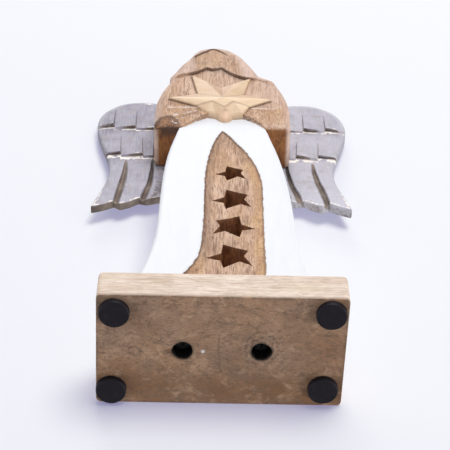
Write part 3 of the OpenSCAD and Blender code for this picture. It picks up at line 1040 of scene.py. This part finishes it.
def wing_attributes(q, side):
    """Where a wing has patina, painted shade, burnished edges or painted highlights."""
    x, y, z = (q * [side, 1, 1]).T
    p = np.column_stack([x, z])
    patina, burnish = np.zeros((2, len(p)))
    for groove in GROOVES:
        t = groove_at(p, groove, side)
        deep = ramp(t, -0.05, 0.3) * ramp(t, 1.05, 0.8) * (z < 213)
        patina = most(patina, deep * np.interp(t, [0, 0.5, 1], [0.75, 0.9, 1]))
        burnish = most(burnish, 0.3 * peak(t, -0.12, 0.12) * (z < 212), 0.3 * peak(t, 1.1, 0.08) * (z < 200))
    outer, inner = (groove_at(p, groove, side) for groove in GROOVES[:2])
    # Painted shade: near black in the groove nearer the body, darker down the outer groove
    black = (1 if side > 0 else 0.85) * ramp(inner, 0.1, 0.4) * ramp(inner, 1.05, 0.9)
    outer_groove_shade = 0.5 * peak(outer, 0.72 if side > 0 else 0.15, 0.14)
    soot = most(black * ramp(z, 184, 200) * (z < 216), outer_groove_shade * ramp(z, 200, 180))
    patina = most(patina, 0.55 * ramp(inner, 0, -0.5) * (z < 212) * ramp(waves(p, 2.5, 21), -0.4, 0.2))
    patchy = ramp(waves(p + [55 * side, 0], 4, 18), -0.6, -0.1)
    for row, tiled, edge, start, end, low, top, _ in short_feathers(p, side):
        own = (tiled > edge - 0.5) * (tiled < end)
        across = ramp(tiled, end, start)
        # Painted shade under each short feather: brown below its lower edge and along its inner step, near
        # black right at the edge
        foot = peak(z, low - 0.3, 0.55) * ramp(across, 0.2, 0.5) * own
        side_foot = 0.5 * peak(tiled, edge - 0.15, 0.38)
        side_foot *= ramp(z, low - 0.5, low) * ramp(z, top + 2, low + 14)
        patina = most(patina, foot, side_foot)
        soot = most(soot, 0.55 * peak(z, low - 0.15, 0.3) * ramp(across, 0.35, 0.7) * own)
        # lip: a painted highlight just above each feather's lower edge; torn: a paler, ragged band below it
        lip = 0.85 * peak(z, low + 0.7, 0.45) * ramp(across, 0.1, 0.3)
        torn = peak(z, low - 2.2, 1.6) if row == 1 else peak(z, low - 1.4, 0.6)
        burnish = most(burnish, np.maximum(lip, torn) * own * patchy)
    rim = depth_in(p, WING_RIM)
    # ends: a paler rim round the feather tips, burnish and painted highlight
    ends = (z < 176) * peak(rim, 0.8, 0.6) * (0.4 + 0.6 * patchy)
    # The tips' end faces are drawn darker: patina and painted shade
    end_face = (rim < 0.15) * (z < 178) * ramp(y, WING_FRONT - 0.7, WING_FRONT + 0.2)
    end_patina_and_shade = ramp((0.42 if side > 0 else 0.95) + 0.3 * waves(p + [0, 30 * side], 3, 23), 0, 1)
    front = y < WING_FRONT + 2.5
    # A painted highlight on the left wing's top
    painted_highlight = peak(np.hypot((x - 46) / 3, z - 284), 0, 0.9) * (side < 0)
    # Painted sheen: paler lower down, more on the right wing, and along the upper rims
    sheen = np.interp(z, [165, 250], [0.62, 0.36] if side > 0 else [0.2, 0.0]) + 0.1 * waves(p, 9, 22)
    return {
        "patina": patina * front * (1 - end_face) + end_patina_and_shade * end_face,
        "soot": most(soot * front, (0.03 if side > 0 else 0.3) * end_face),
        "burnish": most(burnish, 0.85 * ends, painted_highlight) * front * (1 - end_face),
        "sheen": ramp(sheen + 0.45 * peak(rim, 1.3, 1.3) * ramp(z, 235, 262), 0, 1),
    }


def wing_casting(name, side, material):
    lines = []
    shift = RIGHT_SHIFT if side > 0 else 0
    for _, inner, outer, lean, top, low_in, low_out, _, _ in TILES:
        inner += shift
        lines += beside([[max(inner, CLEAR_X - 1), low_in], [min(outer + shift, WING_REACH), low_out]], 0.25)
        if inner > CLEAR_X:
            lines += beside([[inner, low_in + 0.5], [inner + lean, top]], 0.25)
    for groove in GROOVES:
        points = groove_line(groove, side)
        for share in (-0.02, 0.6, 0.8, 1.0):
            lines.append(resample(points[:, :2] - np.outer((1 - share) * points[:, 2], [1, 0]), 0.8))
    return slab(name, [WING_RIM], lambda p: wing_front(p, side), wing_back, material, lines=lines,
                spacing=0.85, depths=(0.12, 0.5, 1.2, 2.2), wall_rows=5, coarse=2.0,
                place=lambda flat, depth: upright(flat * [side, 1], depth),
                attributes=lambda q: wing_attributes(q, side))


# ---------------- the base and its feet

BASE_CORNER = 2.5
BASE_SKEW = BASE_HIGH[0] + BASE_LOW[0]  # the back edge is this far out of square
COUNTERBORE_R = 5.1
COUNTERBORE_H = 10
BORE_X = 19


def base_outline():
    """The block in plan, with its back edge a little to the left."""
    loop = []
    for sx, sy, turn in ((1, 1, 0), (-1, 1, 90), (-1, -1, 180), (1, -1, 270)):
        middle = [sx, sy] * (BASE_HIGH[:2] - BASE_CORNER)
        middle[0] += BASE_SKEW if sy > 0 else 0
        angles = np.radians(turn + np.arange(0, 91, 15))
        loop.append(middle + BASE_CORNER * np.column_stack([np.cos(angles), np.sin(angles)]))
    return outline(*loop)


BASE_RIM = base_outline()


def level(flat, depth):
    """Plan view points at a height."""
    return np.column_stack([flat, depth])


def dent_at(p):
    """The small dent beside the left counterbore: 0 in its middle, 1 at its edge."""
    return np.hypot((p[:, 0] + 25.6) / 3.2, (p[:, 1] - 0.8) / 1.7)


def base_bottom(p):
    rim = depth_in(p, BASE_RIM)
    rise = rounding(rim, 0.5) + 0.12 * (1 + waves(p, 14, 11)) * ramp(rim, 0, 2)
    return BASE_LOW[2] + rise + 0.9 * ramp(dent_at(p), 1.1, 0.5)


def base_top(p):
    return BASE_HIGH[2] - rounding(depth_in(p, BASE_RIM), 2.2)


def bore_loop(side):
    """A counterbore's edge, a little uneven from the drill."""
    angles = np.linspace(0, 2 * np.pi, 48, endpoint=False)
    reach = COUNTERBORE_R * (1 + 0.025 * np.sin(3 * angles + side) + 0.012 * np.sin(7 * angles))
    return np.column_stack([side * BORE_X + reach * np.cos(angles), reach * np.sin(angles)])


def base_attributes(q):
    """Where the base is stained, dented, chipped, or dark with painted shade in its counterbores."""
    p = q[:, :2]
    x, y = p.T
    up = q[:, 2] - BASE_LOW[2]
    bores = np.min([np.hypot(x - side * BORE_X, y) for side in (-1, 1)], axis=0)
    # Painted shade inside the counterbores, and a darker ring round their mouths
    sunk = (bores < COUNTERBORE_R * 1.09) * ramp(up, 0.3, 1.2) * (up < COUNTERBORE_H + 1)
    rim = 0.55 * peak(bores, COUNTERBORE_R, 0.7) * (up < 1)
    left = np.hypot((x + 42) / 1.3, y - 0.5)
    left_rings = 0.7 * (np.cos(left * 2.6 + 2 * waves(p, 4, 12)) > 0.55) * ramp(left, 5.5, 3)
    right = np.hypot(x - BORE_X, (y + 2) / 1.2)
    right_rings = (np.cos(right * 2.4 + 3 * waves(p, 3, 13)) > 0.6) * ramp(right, 11, 7)
    crack = peak(x + 1 - 3 * waves(p, 9, 14) - 0.12 * y, 0, 0.35) * ramp(y, -12, -7) * ramp(y, 16, 10)
    # edge: a darker band along the underside's outer edge
    edge = 0.5 * peak(depth_in(p, BASE_RIM), 0, 1.2) * (waves(p, 5, 15) > -0.1)
    return {
        "under": ramp(up, 0.9, 0.35) * (bores > COUNTERBORE_R * 0.9),
        "amber": np.clip(0.8 * ramp(y, 0, 24) + 0.5 * waves(p, 16, 16) + 0.2 * ramp(x, 20, 50), 0, 0.9),
        "figure": 0.75 * most(left_rings, right_rings, crack, edge),
        "dirt": np.maximum(sunk, rim),
        "dent": 0.95 * ramp(dent_at(p), 1.2, 0.7) * (up < 3),
        "chip": ramp(np.hypot(x + 9.2, y - 0.4), 1.0, 0.6) * (up < 1),
    }


def base_piece(material):
    floor = BASE_LOW[2] + COUNTERBORE_H
    pockets = [[bore_loop(side), [side * BORE_X, 0], floor] for side in (-1, 1)]
    return slab("base_plinth", [BASE_RIM], base_bottom, base_top, material, spacing=0.95,
                depths=(0.1, 0.3, 0.6, 1.3, 2.1), wall_rows=10, pockets=pockets, place=level,
                attributes=base_attributes, coarse=2.5)


def rubber_foot(node, material):
    """A stick-on bumper: a low disc with a soft lower rim."""
    low, high = box_mm(node)
    radius = (high[0] - low[0]) / 2
    height = high[2] - low[2]
    rim = 0.7
    turns = np.radians(np.arange(-90, 1, 15))
    soft_rim = np.column_stack([radius - rim - 0.1 + rim * np.cos(turns), rim + rim * np.sin(turns)])
    profile = outline([[0, 0], [radius * 0.5, 0], [radius - rim - 1.2, 0]], soft_rim,
                      [[radius - 0.05, height * 0.6], [radius, height], [0, height]])
    foot = [*(low + high)[:2] / 2, low[2]]
    return lathe("rubber_" + node, profile, material, lambda q: q + foot)


def cross_recess(points):
    """How deep a screw head's cross recess is at points measured from the top of the head."""
    x, y, height = points.T
    slot = ramp(np.minimum(np.abs(x), np.abs(y)), 0.45, 0.25)
    return 0.9 * slot * ramp(np.hypot(x, y), 1.9, 1.5) * (height < 1.5)


def screw(node, kind, head_r, head_h, shank_r, material):
    """A wood screw with a cross recess. Its axis and length come from its CAD node."""
    low, high = box_mm(node)
    middle = (low + high) / 2
    if kind == "flat":
        length = high[2] - low[2]
        head = outline([[r, 0] for r in np.linspace(0, head_r - 0.2, 14)], [[head_r, 0.2], [head_r, 0.7]])
    else:
        length = high[1] - low[1]
        turns = np.radians(np.linspace(0, 88, 14))
        head = np.column_stack([head_r * np.sin(turns), head_h * (1 - np.cos(turns))])
    tip = length - 4
    core = shank_r * 0.78
    shank = [[core, height] for height in np.arange(head_h + 1, tip, 0.22)]
    profile = outline(head, [[shank_r, head_h], [core, head_h + 0.4]], shank,
                      [[shank_r * 0.4, length - 1.5], [0, length]])

    def place(q):
        if kind == "flat":
            return q + [middle[0], middle[1], low[2]]
        return np.column_stack([q[:, 0], -q[:, 2], q[:, 1]]) + [middle[0], high[1], middle[2]]

    thread = [head_h + 1, tip, 1.4, shank_r * 0.2]
    return lathe("screw_" + node, profile, material, place, 48, thread, cross_recess)


# ---------------- building the object

wood = body_wood()
metal = wing_metal()
rubber = foot_rubber()
black_steel = steel("screw_black", (0.015, 0.014, 0.014), (0.05, 0.048, 0.046), 0.6)
zinc_steel = steel("screw_zinc", (0.42, 0.41, 0.38), (0.60, 0.59, 0.56), 0.95)

show(base_piece(base_wood()), "base_block")
show(carved_body(wood), "angel_body")
show(relief_star(star_wood()), "chest_star")
show(wing_casting("left_wing_casting", -1, metal), "wing_left")
show(wing_casting("right_wing_casting", 1, metal), "wing_right")
for end in ("front", "back"):
    for side in ("left", "right"):
        node = f"foot_{end}_{side}"
        show(rubber_foot(node, rubber), node)
for side in ("left", "right"):
    node = f"base_screw_{side}"
    show(screw(node, "flat", 4, 3, 2, black_steel), node)
    for height in ("upper", "lower"):
        node = f"wing_screw_{side}_{height}"
        show(screw(node, "round", 3.5, 2.2, 1.5, zinc_steel), node)


# ---------------- stage, light and camera


def mixed(tree, factor, first, second, output):
    """Sends a blend of two shaders to an output: the first at factor 0, the second at 1."""
    both = tree.nodes.new("ShaderNodeMixShader")
    for socket, source in zip(both.inputs, (factor, first, second)):
        tree.links.new(source, socket)
    tree.links.new(both.outputs["Shader"], tree.nodes[output].inputs["Surface"])


def stage_material():
    """Near-white, and seen only from the front, so that it hides nothing behind it."""
    material = bpy.data.materials.new("stage_white")
    material.use_nodes = True
    tree = material.node_tree
    paper = tree.nodes["Principled BSDF"]
    paper.inputs["Base Color"].default_value = (0.62, 0.635, 0.54, 1)
    paper.inputs["Emission Color"].default_value = (0.16, 0.152, 0.32, 1)
    paper.inputs["Emission Strength"].default_value = 1
    paper.inputs["Roughness"].default_value = 0.9
    paper.inputs["Specular IOR Level"].default_value = 0.1
    behind = tree.nodes.new("ShaderNodeNewGeometry").outputs["Backfacing"]
    clear = tree.nodes.new("ShaderNodeBsdfTransparent").outputs["BSDF"]
    mixed(tree, behind, paper.outputs["BSDF"], clear, "Material Output")
    return material


def sheet(name, origin, across, up, half, material):
    """A large flat stage sheet whose front is on the side of across x up."""
    origin, across, up = (np.array(v, float) for v in (origin, across, up))
    corners = [origin + (across * a + up * b) * half for a, b in ((-1, -1), (1, -1), (1, 1), (-1, 1))]
    mesh = bpy.data.meshes.new(name)
    mesh.from_pydata([tuple(c) for c in corners], [], [(0, 1, 2, 3)])
    mesh.materials.append(material)
    made = link(name, mesh)
    made.visible_diffuse = False
    made.visible_glossy = False
    made.visible_shadow = False


white = stage_material()
sheet("stage_floor", (0, 0, 0), (1, 0, 0), (0, 1, 0), 6, white)
# The figure is photographed lying on its back, so a second sheet touches the base's back edge
# and the wings' backs
LEAN = math.atan2(BASE_HIGH[1] - WING_BACK - 2, 268)
table_up = (0, -math.sin(LEAN), math.cos(LEAN))
sheet("stage_table", (0, (BASE_HIGH[1] + 0.1) * MM, 0), (1, 0, 0), table_up, 6, white)


def soft_light(name, place, aim, size, watts, color=(1, 1, 1)):
    light = bpy.data.lights.new(name, "AREA")
    light.shape = "DISK"
    light.size = size
    light.energy = watts
    light.color = color
    lamp = link(name, light)
    lamp.location = place
    lamp.rotation_euler = (Vector(aim) - Vector(place)).to_track_quat("-Z", "Y").to_euler()


soft_light("key_light", (0.45, -2.2, 0.36), (0, 0, 0.15), 1.25, 38, (1, 0.99, 0.975))
soft_light("top_light", (-0.3, -1.0, 2.2), (0, 0, 0.2), 1.0, 14)
for side in (-1, 1):
    soft_light(f"bounce_light_{side}", (side * 1.8, 0.4, -0.9), (0, 0, 0.15), 1.0, 21 + 5 * side)
soft_light("back_light", (0.6, 2.0, 1.4), (0, 0, 0.15), 1.2, 14)


def world_light(strength, seen):
    """Even light from all round, and a near-white backdrop for the camera."""
    world = bpy.data.worlds.new("studio")
    bpy.context.scene.world = world
    world.use_nodes = True
    tree = world.node_tree
    glow = tree.nodes["Background"]
    glow.inputs["Color"].default_value = (0.95, 0.97, 1.0, 1)
    glow.inputs["Strength"].default_value = strength
    backdrop = tree.nodes.new("ShaderNodeBackground")
    backdrop.inputs["Color"].default_value = (*seen, 1)
    camera_ray = tree.nodes.new("ShaderNodeLightPath").outputs["Is Camera Ray"]
    mixed(tree, camera_ray, glow.outputs["Background"], backdrop.outputs["Background"], "World Output")


world_light(0.46, (0.935, 0.945, 0.99))
bpy.context.scene.view_settings.view_transform = "Standard"


def add_camera(tilt, swing, roll, offset, lens):
    """A camera that looks up the figure from below its base.

    tilt is the angle between the line of sight and the figure's upright axis, swing turns
    the camera round that axis' cross line, and offset places the origin in the camera's
    own axes (right, up, ahead), in millimetres.
    """
    tilt, swing, roll = (math.radians(a) for a in (tilt, swing, roll))
    lean = [[1, 0, 0], [0, -math.cos(tilt), math.sin(tilt)], [0, math.sin(tilt), math.cos(tilt)]]
    turn = [[math.cos(swing), 0, math.sin(swing)], [0, 1, 0], [-math.sin(swing), 0, math.cos(swing)]]
    axes = np.array(lean) @ np.array(turn)
    right, up, ahead = axes
    side = right * math.cos(roll) + up * math.sin(roll)
    top = -right * math.sin(roll) + up * math.cos(roll)
    spot = -axes.T @ np.array(offset) + [0, 0, BASE_LOW[2]]
    pose = np.eye(4)
    pose[:3] = np.column_stack([side, top, -ahead, spot * MM])
    data = bpy.data.cameras.new("camera")
    data.lens = lens
    data.clip_end = 100
    camera = link("camera", data)
    camera.matrix_world = Matrix(pose)
    bpy.context.scene.camera = camera


add_camera(31.42, -0.90, 1.56, (0.19, -60.82, 768.08), 128)
